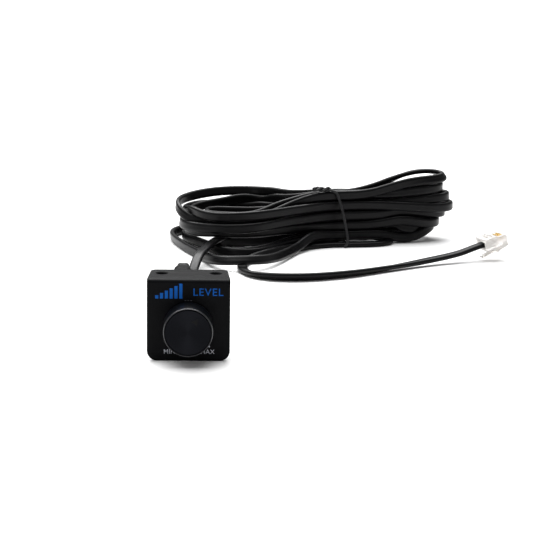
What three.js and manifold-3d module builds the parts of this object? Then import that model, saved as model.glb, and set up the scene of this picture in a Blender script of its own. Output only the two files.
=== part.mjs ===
// Wired rotary level control: a knob and a small potentiometer pod on an
// L-shaped mounting bracket, with a tied hank of flat four-conductor cord
// that ends in a six-position modular plug.
//
// Units are millimetres. X is to the right, Y runs from the knob to the rear,
// Z is up. Z = 0 is the surface the bracket stands on.

import * as THREE from 'three';
import Module from 'manifold-3d';
import { mergeVertices } from 'three/addons/utils/BufferGeometryUtils.js';

const wasm = await Module();
wasm.setup();

// ---- driving dimensions ----------------------------------------------------

const REAR_OFFSET = 9; // bracket front face to the middle of the unit, along Y
const GAP = 0.3; // assembly clearance between touching pieces

// bracket
const PLATE = 33; // width and height of the front plate
const SHEET = 1.6;
const BEND_R = 1.5;
const FLANGE_DEPTH = 19.5;
const FLANGE_TAPER = 1.2; // narrowing on each side at the rear edge
const PLATE_CORNER_R = 4.2;
const FLANGE_CORNER_R = 2.8;
const SCREW_HOLE_X = 10.8;
const SCREW_HOLE_Y = 12.6;
const SCREW_HOLE_R = 2.2;

// knob
const KNOB_Z = 14.4;
const KNOB_R = 9.8;
const KNOB_FRONT = -12;
const KNOB_REAR = -0.7;
const POINTER_DEG = 34; // clockwise from twelve o'clock, seen from the front
const POINTER_R = 5; // distance of the pointer from the axis

// potentiometer
const SHAFT_R = 3;
const BUSHING_R = 4;
const BUSHING_FRONT = -4.2;
const POT_W = 10.4;
const POT_H = 12;
const PIN_X = [-2.5, 0, 2.5];

// pod
const POD_W = 29;
const POD_H = 30.9;
const POD_FRONT = SHEET + GAP;
const POD_REAR = 9.9;
const POD_WALL = 1.4;
const POD_CORNER_R = 3.6;
const POST_X = 10.7;
const POST_LOW_Z = 3.9;
const POST_HIGH_Z = 27;

// cord and strain relief
const CORD_W = 5;
const CORD_T = 2.5;
const CORD_X = -2.9;
const FLOOR_Z = 1.55; // height of the cord's middle where it lies flat
const ENTRY_Z = 25.2;
const BOOT_END_Y = 30;
const BOOT_END_Z = 30.6;
const HANK_BOTTOM = 0.3;
const HANK_TOP = 29;
const LOOSE_TOP = 7.6; // the loose bottom turns
const LOOP_TOP = 36; // the raised top loop at the closed end
const RISE_START = 12;
const RISE_DEG = 9;
const TIE_X = 76;
const TIE_Y = 244;
const TIE_HEADING = 16; // degrees from +X to the run of the bundle
const BUNDLE_W = 12;
const TIE_WIRE = 1.5;

// plug
const PLUG_W = 9.65;
const PLUG_H = 6.6;
const PLUG_L = 12.3;
const PLUG_POS = [144.4, 200, 7.9]; // middle of the rear face
const PLUG_HEADING = 24;
const PLUG_PITCH = 14;
const LATCH_DEG = 9;
const BLADE_Y = [-1.905, -0.635, 0.635, 1.905];

const rad = THREE.MathUtils.degToRad;

// ---- geometry helpers ------------------------------------------------------

function toSolid(geometry) {
  let g = geometry.clone();
  g.deleteAttribute('normal');
  g.deleteAttribute('uv');
  g = mergeVertices(g, 1e-4);
  return new wasm.Manifold(new wasm.Mesh({
    numProp: 3,
    vertProperties: new Float32Array(g.attributes.position.array),
    triVerts: new Uint32Array(g.index.array),
  }));
}

function toGeometry(solid) {
  const mesh = solid.getMesh();
  const g = new THREE.BufferGeometry();
  const positions = new Float32Array(mesh.numVert * 3);
  for (let i = 0; i < mesh.numVert; i += 1) {
    for (let k = 0; k < 3; k += 1) {
      positions[i * 3 + k] = mesh.vertProperties[i * mesh.numProp + k];
    }
  }
  g.setAttribute('position', new THREE.BufferAttribute(positions, 3));
  g.setIndex(new THREE.BufferAttribute(new Uint32Array(mesh.triVerts), 1));
  return g;
}

const cut = (body, ...tools) => tools.reduce((s, t) => s.subtract(t), body);
const join = (body, ...others) => others.reduce((s, t) => s.add(t), body);

function box(x0, x1, y0, y1, z0, z1) {
  const g = new THREE.BoxGeometry(x1 - x0, y1 - y0, z1 - z0);
  g.translate((x0 + x1) / 2, (y0 + y1) / 2, (z0 + z1) / 2);
  return g;
}

// Outline in X and Y, raised between two heights.
function slabZ(shape, z0, z1, curveSegments = 10) {
  const g = new THREE.ExtrudeGeometry(shape, { depth: z1 - z0, bevelEnabled: false, curveSegments });
  g.translate(0, 0, z0);
  return g;
}

// Outline in X and Z, running rearward between two depths.
function slabY(shape, y0, y1, curveSegments = 10) {
  const g = new THREE.ExtrudeGeometry(shape, { depth: y1 - y0, bevelEnabled: false, curveSegments });
  g.rotateX(Math.PI / 2);
  g.translate(0, y1, 0);
  return g;
}

// Outline in Y and Z, running sideways between two X values.
function slabX(shape, x0, x1, curveSegments = 8) {
  const g = new THREE.ExtrudeGeometry(shape, { depth: x1 - x0, bevelEnabled: false, curveSegments });
  g.applyMatrix4(new THREE.Matrix4().makeBasis(
    new THREE.Vector3(0, 1, 0),
    new THREE.Vector3(0, 0, 1),
    new THREE.Vector3(1, 0, 0),
  ));
  g.translate(x0, 0, 0);
  return g;
}

// Turned piece about the Y axis; the profile is a list of [radius, y].
function turned(profile, segments = 48) {
  const points = profile.map(([r, y]) => new THREE.Vector2(r, y));
  return new THREE.LatheGeometry(points, segments);
}

// Turned ring or tube: the profile closes on itself.
function turnedRing(profile, segments = 48) {
  return turned([...profile, profile[0]], segments);
}

function disc(radius, y0, y1, segments = 48) {
  return turned([[0, y0], [radius, y0], [radius, y1], [0, y1]], segments);
}

function roundedRect(w, h, r, x = 0, y = 0) {
  const s = new THREE.Shape();
  const [l, b] = [x - w / 2, y - h / 2];
  s.moveTo(l + r, b);
  s.lineTo(l + w - r, b);
  s.absarc(l + w - r, b + r, r, -Math.PI / 2, 0, false);
  s.lineTo(l + w, b + h - r);
  s.absarc(l + w - r, b + h - r, r, 0, Math.PI / 2, false);
  s.lineTo(l + r, b + h);
  s.absarc(l + r, b + h - r, r, Math.PI / 2, Math.PI, false);
  s.lineTo(l, b + r);
  s.absarc(l + r, b + r, r, Math.PI, Math.PI * 1.5, false);
  return s;
}

function polygon(points) {
  return new THREE.Shape(points.map(([x, y]) => new THREE.Vector2(x, y)));
}

// Closed skin through a list of rings that all have the same point count.
function loft(rings) {
  const n = rings[0].length;
  const positions = [];
  const index = [];
  rings.forEach((ring) => ring.forEach((p) => positions.push(p.x, p.y, p.z)));
  for (let i = 0; i < rings.length - 1; i += 1) {
    for (let j = 0; j < n; j += 1) {
      const a = i * n + j;
      const b = i * n + ((j + 1) % n);
      index.push(a, b, b + n, a, b + n, a + n);
    }
  }
  const last = (rings.length - 1) * n;
  for (let j = 1; j < n - 1; j += 1) {
    index.push(0, j + 1, j, last, last + j, last + j + 1);
  }
  const g = new THREE.BufferGeometry();
  g.setAttribute('position', new THREE.Float32BufferAttribute(positions, 3));
  g.setIndex(index);
  return g;
}

function sweep(points, section, steps) {
  const path = new THREE.CatmullRomCurve3(points.map((p) => new THREE.Vector3(...p)));
  return new THREE.ExtrudeGeometry(section, { steps, bevelEnabled: false, extrudePath: path });
}

function ovalSection(a, b, count) {
  const s = new THREE.Shape();
  s.absellipse(0, 0, a, b, 0, Math.PI * 2, false, 0);
  return new THREE.Shape(s.getSpacedPoints(count).slice(0, count));
}

// ---- the assembly ----------------------------------------------------------

const unit = new THREE.Group();
unit.name = 'level_control_unit';
unit.position.y = -REAR_OFFSET;

function add(name, geometry, look, position = [0, 0, 0], rotation = [0, 0, 0], parent = unit) {
  const g = geometry.isBufferGeometry ? geometry : toGeometry(geometry);
  if (!g.attributes.normal) g.computeVertexNormals();
  const material = new THREE.MeshStandardMaterial({
    color: look[0], roughness: look[1], metalness: look[2],
  });
  const mesh = new THREE.Mesh(g, material);
  mesh.name = name;
  mesh.position.set(...position);
  mesh.rotation.set(...rotation);
  parent.add(mesh);
  return mesh;
}

const BLACK_PAINT = ['#1c1d20', 0.55, 0.1];
const BLACK_PLASTIC = ['#191a1c', 0.6, 0];
const KNOB_BLACK = ['#16181b', 0.5, 0];
const SPUN_GREY = ['#3b3d41', 0.35, 0.7];
const CORD_BLACK = ['#26272a', 0.5, 0];
const RUBBER_GREY = ['#4a4a4c', 0.65, 0];
const STEEL = ['#a9abaf', 0.35, 1];
const BRASS = ['#b08d4a', 0.35, 1];
const GOLD = ['#d1a73c', 0.3, 1];
const BOARD_GREEN = ['#1f5a3a', 0.55, 0];
const CLEAR = ['#dfe3e6', 0.15, 0];

// -- bracket: sheet bent into an L, plate in front and flange on top

function bracketSolid() {
  const inner = BEND_R - 1.1;
  const profile = new THREE.Shape();
  profile.moveTo(0, 0);
  profile.lineTo(SHEET, 0);
  profile.lineTo(SHEET, PLATE - SHEET - inner);
  profile.absarc(SHEET + inner, PLATE - SHEET - inner, inner, Math.PI, Math.PI / 2, true);
  profile.lineTo(FLANGE_DEPTH, PLATE - SHEET);
  profile.lineTo(FLANGE_DEPTH, PLATE);
  profile.lineTo(BEND_R, PLATE);
  profile.absarc(BEND_R, PLATE - BEND_R, BEND_R, Math.PI / 2, Math.PI, false);
  const bent = toSolid(slabX(profile, -PLATE, PLATE));

  const front = new THREE.Shape();
  const half = PLATE / 2;
  const r = PLATE_CORNER_R;
  front.moveTo(-half + r, 0);
  front.lineTo(half - r, 0);
  front.absarc(half - r, r, r, -Math.PI / 2, 0, false);
  front.lineTo(half, PLATE + 2);
  front.lineTo(-half, PLATE + 2);
  front.lineTo(-half, r);
  front.absarc(-half + r, r, r, Math.PI, Math.PI * 1.5, false);
  const frontLimit = toSolid(slabY(front, -2, FLANGE_DEPTH + 2));

  const slope = FLANGE_TAPER / (FLANGE_DEPTH - SHEET);
  const halfAt = (y) => half - slope * (y - SHEET);
  const rc = FLANGE_CORNER_R;
  const top = new THREE.Shape();
  top.moveTo(-halfAt(-2), -2);
  top.lineTo(halfAt(-2), -2);
  top.lineTo(halfAt(FLANGE_DEPTH - rc), FLANGE_DEPTH - rc);
  top.absarc(halfAt(FLANGE_DEPTH - rc) - rc, FLANGE_DEPTH - rc, rc, 0, Math.PI / 2, false);
  top.lineTo(-halfAt(FLANGE_DEPTH - rc) + rc, FLANGE_DEPTH);
  top.absarc(-halfAt(FLANGE_DEPTH - rc) + rc, FLANGE_DEPTH - rc, rc, Math.PI / 2, Math.PI, false);
  const topLimit = toSolid(slabZ(top, -2, PLATE + 2));

  const bushingHole = toSolid(disc(BUSHING_R + 0.4, -2, SHEET + 2, 40)).translate([0, 0, KNOB_Z]);
  const tabHole = toSolid(box(-1, 1, -2, SHEET + 2, KNOB_Z + 4.9, KNOB_Z + 6.3));
  const holes = [-1, 1].map((side) => {
    const profileZ = turned([
      [0, -3], [SCREW_HOLE_R, -3], [SCREW_HOLE_R, -0.5], [SCREW_HOLE_R + 0.7, 0.2],
      [SCREW_HOLE_R + 0.7, 1], [0, 1],
    ], 32);
    profileZ.rotateX(Math.PI / 2);
    profileZ.translate(side * SCREW_HOLE_X, SCREW_HOLE_Y, PLATE);
    return toSolid(profileZ);
  });
  return cut(bent.intersect(frontLimit).intersect(topLimit), bushingHole, tabHole, ...holes);
}

add('mounting_bracket', bracketSolid(), BLACK_PAINT);

// -- pod: tub behind the plate, held by four posts and four screws

const posts = [
  [-POST_X, POST_LOW_Z], [POST_X, POST_LOW_Z], [-POST_X, POST_HIGH_Z], [POST_X, POST_HIGH_Z],
];

function podSolid() {
  const outline = roundedRect(POD_W, POD_H, POD_CORNER_R, 0, POD_H / 2);
  const inside = roundedRect(
    POD_W - 2 * POD_WALL, POD_H - 2 * POD_WALL, POD_CORNER_R - POD_WALL, 0, POD_H / 2,
  );
  const shell = toSolid(slabY(outline, POD_FRONT, POD_REAR, 6));
  const hollow = toSolid(slabY(inside, POD_FRONT - 1, POD_REAR - POD_WALL, 6));
  const entry = toSolid(slabY(roundedRect(6.4, 4, 1.8, CORD_X, ENTRY_Z), POD_FRONT, POD_REAR + 1, 5));
  const screwHoles = posts.map(([x, z]) => toSolid(turned([
    [0, POD_REAR - 3], [1.35, POD_REAR - 3], [1.35, POD_REAR - 1], [2.35, POD_REAR + 0.05],
    [2.35, POD_REAR + 1], [0, POD_REAR + 1],
  ], 24)).translate([x, 0, z]));
  return cut(shell, hollow, entry, ...screwHoles);
}

add('pod_shell', podSolid(), BLACK_PLASTIC);

const postProfile = [
  [0, POD_FRONT], [2.1, POD_FRONT], [2.1, POD_REAR - POD_WALL - GAP], [1.3, POD_REAR - POD_WALL - GAP],
  [1.3, 3.4], [0, 3.0],
];
posts.forEach(([x, z], i) => {
  add(`pod_post_${i + 1}`, turned(postProfile, 20), BRASS, [x, 0, z]);
});

function podScrew() {
  const top = POD_REAR - 0.05;
  const body = toSolid(turned([
    [0, 4], [0.7, 4], [1, 4.4], [1, top - 1.15], [1.95, top - 0.2], [1.95, top], [0, top],
  ], 24));
  const slotA = toSolid(box(-1.1, 1.1, top - 0.6, top + 1, -0.22, 0.22));
  const slotB = toSolid(box(-0.22, 0.22, top - 0.6, top + 1, -1.1, 1.1));
  return cut(body, slotA, slotB);
}
posts.forEach(([x, z], i) => {
  add(`pod_screw_${i + 1}`, podScrew(), STEEL, [x, 0, z]);
});

// -- potentiometer: frame with bushing, base, track, terminals, shaft, wiper

const POT_REAR = 6.3;

function potFrame() {
  const outer = toSolid(slabY(roundedRect(POT_W, POT_H, 0.8), POD_FRONT, POT_REAR - 0.6, 3));
  const hollow = toSolid(slabY(roundedRect(POT_W - 1.2, POT_H - 1.2, 0.4), POD_FRONT + 0.9, POT_REAR, 3));
  const sleeve = toSolid(disc(BUSHING_R, BUSHING_FRONT, POD_FRONT + 0.5, 40));
  const tab = toSolid(box(-0.6, 0.6, 0.4, POD_FRONT + 0.4, 5.2, 6));
  const bore = toSolid(disc(SHAFT_R + GAP, BUSHING_FRONT - 1, POT_REAR, 40));
  const footRelief = toSolid(box(-4, 4, POD_FRONT + 1.6, POT_REAR, -POT_H, -4.5));
  return cut(join(outer.subtract(hollow), sleeve, tab), bore, footRelief).translate([0, 0, KNOB_Z]);
}
add('pot_frame', potFrame(), STEEL);

const base = toSolid(slabY(roundedRect(POT_W - 1.8, POT_H - 1.8, 0.3), 5.2, POT_REAR, 2));
const pinSlots = PIN_X.map((x) => toSolid(box(x - 0.8, x + 0.8, 4, 8, -POT_H, -4.3)));
add('pot_base', cut(base, ...pinSlots).translate([0, 0, KNOB_Z]), BLACK_PLASTIC);

const track = new THREE.Shape();
const trackEnd = rad(145);
track.absarc(0, 0, 3.9, Math.PI / 2 + trackEnd, Math.PI / 2 - trackEnd, true);
track.absarc(0, 0, 2.7, Math.PI / 2 - trackEnd, Math.PI / 2 + trackEnd, false);
add('pot_track', slabY(track, 4.6, 4.9, 28), ['#2a2420', 0.8, 0], [0, 0, KNOB_Z]);

const terminal = join(
  toSolid(box(-0.4, 0.4, 4.7, 5.1, -5.5, -4.6)),
  toSolid(box(-0.4, 0.4, 4.75, 8.1, -5.5, -5.1)),
);
PIN_X.forEach((x, i) => {
  add(`pot_terminal_${i + 1}`, terminal, STEEL, [x, 0, KNOB_Z]);
});

// -- turning group: shaft, wiper, knob insert, knob, face disc and pointer

const turning = new THREE.Group();
turning.position.z = KNOB_Z;
unit.add(turning);

const shaft = toSolid(turned([
  [0, -9.3], [SHAFT_R - 0.5, -9.3], [SHAFT_R, -8.8], [SHAFT_R, 3.1], [4, 3.1], [4, 3.8], [0, 3.8],
], 40));
const shaftFlat = toSolid(box(-5, 5, -10, -5.6, 1.7, 5));
add('pot_shaft', shaft.subtract(shaftFlat), STEEL, [0, 0, 0], [0, rad(POINTER_DEG), 0], turning);

const wiperArm = toSolid(slabY(roundedRect(1.6, 4.4, 0.5, 0, 1.5), 4.1, 4.3, 4));
const wiperHub = toSolid(disc(1.6, 4.1, 4.3, 24));
add('pot_wiper', wiperArm.add(wiperHub), BRASS, [0, 0, 0], [0, rad(POINTER_DEG), 0], turning);

const insertRing = toSolid(turnedRing([
  [SHAFT_R + GAP, -9.5], [4.4, -9.5], [4.4, -8.2], [4.1, -8], [4.1, -7.4], [4.4, -7.2],
  [4.4, -5.9], [SHAFT_R + GAP, -5.9],
], 40));
const insertKey = toSolid(box(-2.4, 2.4, -9.4, -6, 2, 3.6));
add('knob_insert', insertRing.add(insertKey), BRASS, [0, 0, 0], [0, rad(POINTER_DEG), 0], turning);

const FACE_R = 9.15;
const knobProfile = [
  [0, KNOB_FRONT + 1.5], [FACE_R + GAP, KNOB_FRONT + 1.5], [FACE_R + GAP, KNOB_FRONT + 0.25],
  [FACE_R + GAP + 0.05, KNOB_FRONT], [KNOB_R - 0.2, KNOB_FRONT], [KNOB_R - 0.08, KNOB_FRONT + 0.3],
  [KNOB_R - 0.05, KNOB_FRONT + 0.8], [KNOB_R + 0.1, KNOB_REAR - 0.4], [KNOB_R - 0.1, KNOB_REAR],
  [8.5, KNOB_REAR], [8.2, KNOB_FRONT + 2.9], [5.9, KNOB_FRONT + 2.6], [5.8, -5.8],
  [4.7, -5.8], [4.7, KNOB_FRONT + 2.2], [0, KNOB_FRONT + 2.2],
];
add('knob_body', turned(knobProfile, 64), KNOB_BLACK, [0, 0, 0], [0, 0, 0], turning);

const face = toSolid(turned([
  [0, KNOB_FRONT + 0.1], [FACE_R - 0.4, KNOB_FRONT + 0.1], [FACE_R, KNOB_FRONT + 0.3],
  [FACE_R, KNOB_FRONT + 1.2], [0, KNOB_FRONT + 1.2],
], 64));
const triangle = (size) => polygon([[0, size], [-size * 0.866, -size * 0.5], [size * 0.866, -size * 0.5]]);
const pocket = toSolid(slabY(triangle(2.1), KNOB_FRONT - 1, KNOB_FRONT + 0.75)).translate([0, 0, POINTER_R]);
const pointer = toSolid(slabY(triangle(1.5), KNOB_FRONT + 0.2, KNOB_FRONT + 0.45)).translate([0, 0, POINTER_R]);
add('knob_face', face.subtract(pocket), SPUN_GREY, [0, 0, 0], [0, rad(POINTER_DEG), 0], turning);
add('knob_pointer', pointer, BLACK_PLASTIC, [0, 0, 0], [0, rad(POINTER_DEG), 0], turning);

// -- bushing nut and toothed washer under the knob

const hex = new THREE.Shape();
for (let i = 0; i < 6; i += 1) {
  const a = rad(60 * i);
  const r = 5.5 / Math.cos(rad(30));
  if (i === 0) hex.moveTo(r * Math.cos(a), r * Math.sin(a));
  else hex.lineTo(r * Math.cos(a), r * Math.sin(a));
}
const nut = toSolid(slabY(hex, -3.2, -1.2));
const nutRound = toSolid(turned([[0, -3.3], [5.6, -3.3], [6.5, -2.8], [6.5, -1.6], [5.6, -1.1], [0, -1.1]], 40));
const nutBore = toSolid(disc(BUSHING_R + GAP, -5, 1, 40));
add('bushing_nut', nut.intersect(nutRound).subtract(nutBore), STEEL, [0, 0, KNOB_Z]);

const toothed = new THREE.Shape();
const hole = new THREE.Path();
const TEETH = 14;
toothed.absarc(0, 0, 6.4, 0, Math.PI * 2, false);
for (let i = 0; i < TEETH * 4; i += 1) {
  const a = (i / (TEETH * 4)) * Math.PI * 2;
  const r = i % 4 < 2 ? BUSHING_R + GAP + 0.05 : BUSHING_R + GAP + 0.7;
  if (i === 0) hole.moveTo(r * Math.cos(a), r * Math.sin(a));
  else hole.lineTo(r * Math.cos(a), r * Math.sin(a));
}
toothed.holes.push(hole);
add('lock_washer', slabY(toothed, -0.9, -0.3, 24), STEEL, [0, 0, KNOB_Z]);

// -- circuit board with its parts

const BOARD_FRONT = 6.7;
const BOARD_REAR = 7.7;

function roundedNotch() {
  return slabY(roundedRect(9, 9, 1.5), BOARD_FRONT - 1, BOARD_REAR + 1, 4);
}

function boardSolid() {
  const blank = toSolid(box(-12.3, 12.3, BOARD_FRONT, BOARD_REAR, 2, 21.2));
  const notches = [-1, 1].map((side) => (
    toSolid(roundedNotch()).translate([side * (POST_X + 2), 0, POST_LOW_Z - 2])
  ));
  const vias = PIN_X.map((x) => (
    toSolid(box(x - 0.75, x + 0.75, BOARD_FRONT - 1, BOARD_REAR + 1, KNOB_Z - 5.85, KNOB_Z - 4.75))
  ));
  return cut(blank, ...notches, ...vias);
}
add('circuit_board', boardSolid(), BOARD_GREEN);

const CHIP_BLACK = ['#17181a', 0.5, 0];
add('buffer_chip', box(6.8, 10.7, 5, BOARD_FRONT - GAP, 13.4, 18.4), CHIP_BLACK);
add('board_resistor_1', box(6.8, 8.4, 5.9, BOARD_FRONT - GAP, 10.2, 11), CHIP_BLACK);
add('board_resistor_2', box(9.4, 11, 5.9, BOARD_FRONT - GAP, 10.2, 11), CHIP_BLACK);
add('board_capacitor', box(-9.6, -7.6, 5.4, BOARD_FRONT - GAP, 9.4, 10.8), ['#8a6a43', 0.6, 0]);

const WIRE_PADS = [-9.9, -8.6, -7.3, -6];

// -- cord entry: jacket end, crimped ferrule, four wires and the moulded boot

add('jacket_end', slabY(roundedRect(CORD_W, CORD_T, 1.1, CORD_X, ENTRY_Z), 4.5, 6.7, 4), CORD_BLACK);

const ferrule = toSolid(slabY(roundedRect(CORD_W + 2.2, CORD_T + 2.2, 1.7, CORD_X, ENTRY_Z), 4.9, 6.4, 4));
const ferruleBore = toSolid(slabY(
  roundedRect(CORD_W + 0.7, CORD_T + 0.7, 1.2, CORD_X, ENTRY_Z), 4, 8, 4,
));
add('cord_ferrule', ferrule.subtract(ferruleBore), STEEL);

const wireSection = ovalSection(0.28, 0.28, 8);
const wireColours = ['#1d1d1f', '#a3262a', '#2f7a3d', '#c7a227'];
WIRE_PADS.forEach((x, i) => {
  const x0 = CORD_X + (i - 1.5) * 1.15;
  add(`lead_wire_${i + 1}`, sweep([
    [x0, 4.2, ENTRY_Z], [x0 - 0.4, 3.2, ENTRY_Z - 0.5], [(x0 + x) / 2, 2.9, ENTRY_Z - 2.4],
    [x, 3.3, 20.6], [x, 4.6, 18.6], [x, BOARD_FRONT - GAP, 18.4],
  ], wireSection, 12), [wireColours[i], 0.5, 0]);
});

// Centre line of the boot: straight through the pod wall, then gently upward.
function bootRing(y, w, h) {
  const t = Math.max(0, (y - POD_REAR) / (BOOT_END_Y - POD_REAR));
  const z = ENTRY_Z + (BOOT_END_Z - ENTRY_Z) * (1.45 * t - 0.45 * t * t);
  const count = 24;
  const ring = [];
  for (let i = 0; i < count; i += 1) {
    const a = (-i / count) * Math.PI * 2;
    const cx = Math.sign(Math.cos(a)) * Math.abs(Math.cos(a)) ** 0.75;
    const cz = Math.sign(Math.sin(a)) * Math.abs(Math.sin(a)) ** 0.75;
    ring.push(new THREE.Vector3(CORD_X + cx * w / 2, y, z + cz * h / 2));
  }
  return ring;
}

function bootSolid() {
  const rings = [bootRing(7, 8.4, 6), bootRing(8.2, 8.4, 6), bootRing(8.2, 5.7, 3.3)];
  rings.push(bootRing(10.2, 5.7, 3.3), bootRing(10.2, 8.8, 6.4), bootRing(11.6, 8.6, 6.2));
  const ribs = 4;
  const pitch = 3.1;
  for (let i = 0; i < ribs; i += 1) {
    const y = 12.2 + i * pitch;
    rings.push(bootRing(y, 7, 4.7), bootRing(y + 0.9, 7, 4.7));
    rings.push(bootRing(y + 1.4, 7.9, 5.4), bootRing(y + 2.6, 7.8, 5.3));
  }
  rings.push(bootRing(25.2, 7.1, 4.9), bootRing(28.8, 7, 4.9));
  rings.push(bootRing(29.6, 6.7, 4.6), bootRing(BOOT_END_Y, 6, 4));
  return loft(rings);
}
add('strain_relief', bootSolid(), RUBBER_GREY);

// -- cord: lead, hank, tail and the tie round the hank

const flatSection = ovalSection(CORD_T / 2, CORD_W / 2, 10);
const leadSection = ovalSection(CORD_W / 2, CORD_T / 2, 10);

add('cord_lead', sweep([
  [CORD_X, BOOT_END_Y + 0.4, 30.75], [CORD_X, 32.5, 30.95], [-2.8, 38, 30.6], [-2.7, 47, 27.9],
  [-2.5, 57, 22.8], [-2.3, 67, 16.3], [-2.1, 77, 10], [-1.9, 88, 4.8], [-1.6, 101, 2.1],
  [-1.2, 118, FLOOR_Z], [-0.9, 138, FLOOR_Z], [-0.2, 154, 2.1], [1, 166, 4.2], [1.7, 171.4, 5.6],
], leadSection, 30), CORD_BLACK);

const tieAxis = new THREE.Vector2(Math.cos(rad(TIE_HEADING)), Math.sin(rad(TIE_HEADING)));
const tieSide = new THREE.Vector2(-tieAxis.y, tieAxis.x);
const fromTie = (along, across) => [
  TIE_X + tieAxis.x * along + tieSide.x * across,
  TIE_Y + tieAxis.y * along + tieSide.y * across,
];

function smoothOutline(points, count) {
  const curve = new THREE.SplineCurve([...points, points[0]].map(([x, y]) => new THREE.Vector2(x, y)));
  return new THREE.Shape(curve.getSpacedPoints(count).slice(0, count));
}

function hankSolid() {
  const half = BUNDLE_W / 2;
  const tall = smoothOutline([
    fromTie(0, -half), fromTie(-20, -9), [36, 206], [14, 197], [-4, 200], [-13, 218],
    [-13, 242], [0, 259], [24, 267], fromTie(-20, 12), fromTie(0, half), fromTie(24, 9),
    fromTie(48, 12), fromTie(68, 11), fromTie(79, 4), fromTie(79, -6), fromTie(66, -12),
    fromTie(44, -12), fromTie(22, -8.5),
  ], 72);
  const low = smoothOutline([
    [69, 238], [60, 221], [52, 208.5], [44, 194], [37, 178.5], [30, 170.5], [21, 166.5], [11, 168],
    [2, 177], [-5.5, 192], [-11.5, 214], [-13.6, 236], [-9, 254], [10, 260], [40, 245],
  ], 56);
  const slot = TIE_WIRE / 2 + GAP;
  const band = toSolid(box(-slot, slot, -40, 40, -5, 40));
  const core = toSolid(box(-5, 5, -half + 2.4, half - 2.4, HANK_BOTTOM + 2.1, HANK_TOP - 2.1));
  const aboveTurns = toSolid(box(-120, 120, -60, 60, HANK_TOP, 60));
  const aboveRise = toSolid(box(-160, 160, -60, 60, 0, 60)).rotate([0, -RISE_DEG, 0])
    .translate([RISE_START, 0, HANK_TOP]);
  const place = (solid) => solid.rotate([0, 0, TIE_HEADING]).translate([TIE_X, TIE_Y, 0]);
  const bundle = toSolid(slabZ(tall, HANK_BOTTOM, LOOP_TOP));
  const loose = toSolid(slabZ(low, HANK_BOTTOM, LOOSE_TOP));
  return bundle.subtract(place(aboveTurns.intersect(aboveRise))).add(loose).subtract(place(band.subtract(core)));
}
add('cord_hank', hankSolid(), CORD_BLACK);

const tieOuter = roundedRect(BUNDLE_W - 0.9, HANK_TOP - HANK_BOTTOM - 0.2, 2.4, 0, (HANK_TOP + HANK_BOTTOM) / 2);
tieOuter.holes.push(roundedRect(
  BUNDLE_W - 0.9 - 2 * TIE_WIRE, HANK_TOP - HANK_BOTTOM - 0.2 - 2 * TIE_WIRE, 1.2,
  0, (HANK_TOP + HANK_BOTTOM) / 2,
));
add('cord_tie', slabY(tieOuter, -TIE_WIRE / 2, TIE_WIRE / 2, 4), BLACK_PLASTIC,
  [TIE_X, TIE_Y, 0], [0, 0, rad(TIE_HEADING + 90)]);

const plugTurn = new THREE.Group();
plugTurn.position.set(...PLUG_POS);
plugTurn.rotation.set(0, -rad(PLUG_PITCH), rad(PLUG_HEADING), 'ZYX');
unit.add(plugTurn);

const plugAxis = new THREE.Vector3(1, 0, 0).applyEuler(plugTurn.rotation);
const behindPlug = (d) => plugAxis.clone().multiplyScalar(-d).add(plugTurn.position).toArray();

add('cord_tail', sweep([
  [24, 165.4, 1.7], [25.6, 160, 1.6], [30.2, 153.4, FLOOR_Z], [40, 148.2, FLOOR_Z], [55, 148.8, FLOOR_Z],
  [74, 157, FLOOR_Z], [94, 171, FLOOR_Z], [113, 183.5, 2.5], behindPlug(14), behindPlug(5),
  behindPlug(GAP + 0.1),
], flatSection, 40), CORD_BLACK);

// -- modular plug: its own X runs from the cord end to the nose

function plugBody() {
  const [w, h, l] = [PLUG_W / 2, PLUG_H / 2, PLUG_L];
  const side = polygon([
    [0, -h + 0.4], [7.2, -h + 0.4], [8, -h], [l, -h], [l, h - 1.4], [l - 0.5, h - 0.9],
    [7.6, h - 0.9], [6.8, h], [0, h],
  ]);
  const body = toSolid(slabY(side, -w, w));
  const cordHole = toSolid(box(-1, 7.4, -3, 3, -1.7, 1.7));
  const blades = BLADE_Y.map((y) => (
    toSolid(box(7.9, l - 0.5, y - 0.48, y + 0.48, 0, h + 1))
  ));
  const anchorPocket = toSolid(box(2.4, 5.6, -2.9, 2.9, 1.2, h + 1));
  return cut(body, cordHole, ...blades, anchorPocket);
}
add('plug_body', plugBody(), CLEAR, [0, 0, 0], [0, 0, 0], plugTurn);

const bladeShape = polygon([
  [8.3, 0.35], [PLUG_L - 0.9, 0.35], [PLUG_L - 0.9, 2.1], [PLUG_L - 1.4, 2.6], [8.3, 2.6],
]);
BLADE_Y.forEach((y, i) => {
  add(`plug_contact_${i + 1}`, slabY(bladeShape, -0.17, 0.17), GOLD, [0, y, 0], [0, 0, 0], plugTurn);
});

add('plug_anchor', cut(
  toSolid(box(2.75, 5.25, -2.55, 2.55, 2, 3.2)),
  toSolid(box(2, 3.4, -1.6, 1.6, 2.7, 4)),
), CLEAR, [0, 0, 0], [0, 0, 0], plugTurn);

// The latch hangs from the nose and stands away from the body at the cord end.
const latchHinge = new THREE.Group();
latchHinge.position.set(PLUG_L - 0.6, 0, -PLUG_H / 2 - GAP - 0.3);
latchHinge.rotation.y = -rad(LATCH_DEG);
plugTurn.add(latchHinge);

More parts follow.
